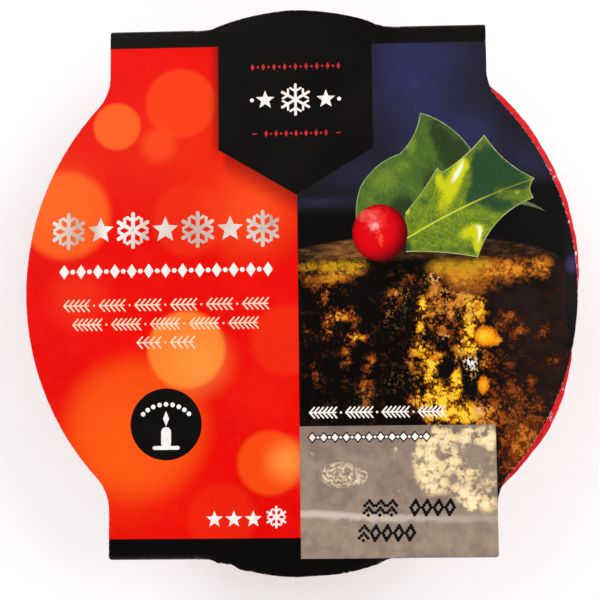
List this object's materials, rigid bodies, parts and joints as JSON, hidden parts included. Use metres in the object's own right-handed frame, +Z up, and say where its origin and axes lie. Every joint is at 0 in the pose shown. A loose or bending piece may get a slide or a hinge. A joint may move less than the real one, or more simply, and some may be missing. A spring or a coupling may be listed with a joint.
{
  "type": "packed christmas pudding",
  "caption": "Small shut pudding pack: a round sealed pot in a folded card sleeve with round wings, festive printed top and open ends.",
  "frame": {"origin": "on the underside of the sleeve's base panel, under the middle of the printed top panel, on the plane that the pack stands on", "axes": "+Z up out of the printed top panel, +Y towards the print's top edge, across the folds, +X to the print's right, out of the sleeve's open end"},
  "size_m": [0.096, 0.098, 0.038],
  "materials": {
    "printed_card": "satin",
    "lid_film": "gloss",
    "pot_plastic": "satin"
  },
  "bodies": {
    "root": {"sleeve": "printed_card", "film_lid": "lid_film", "pot": "pot_plastic"}
  },
  "joints": []
}
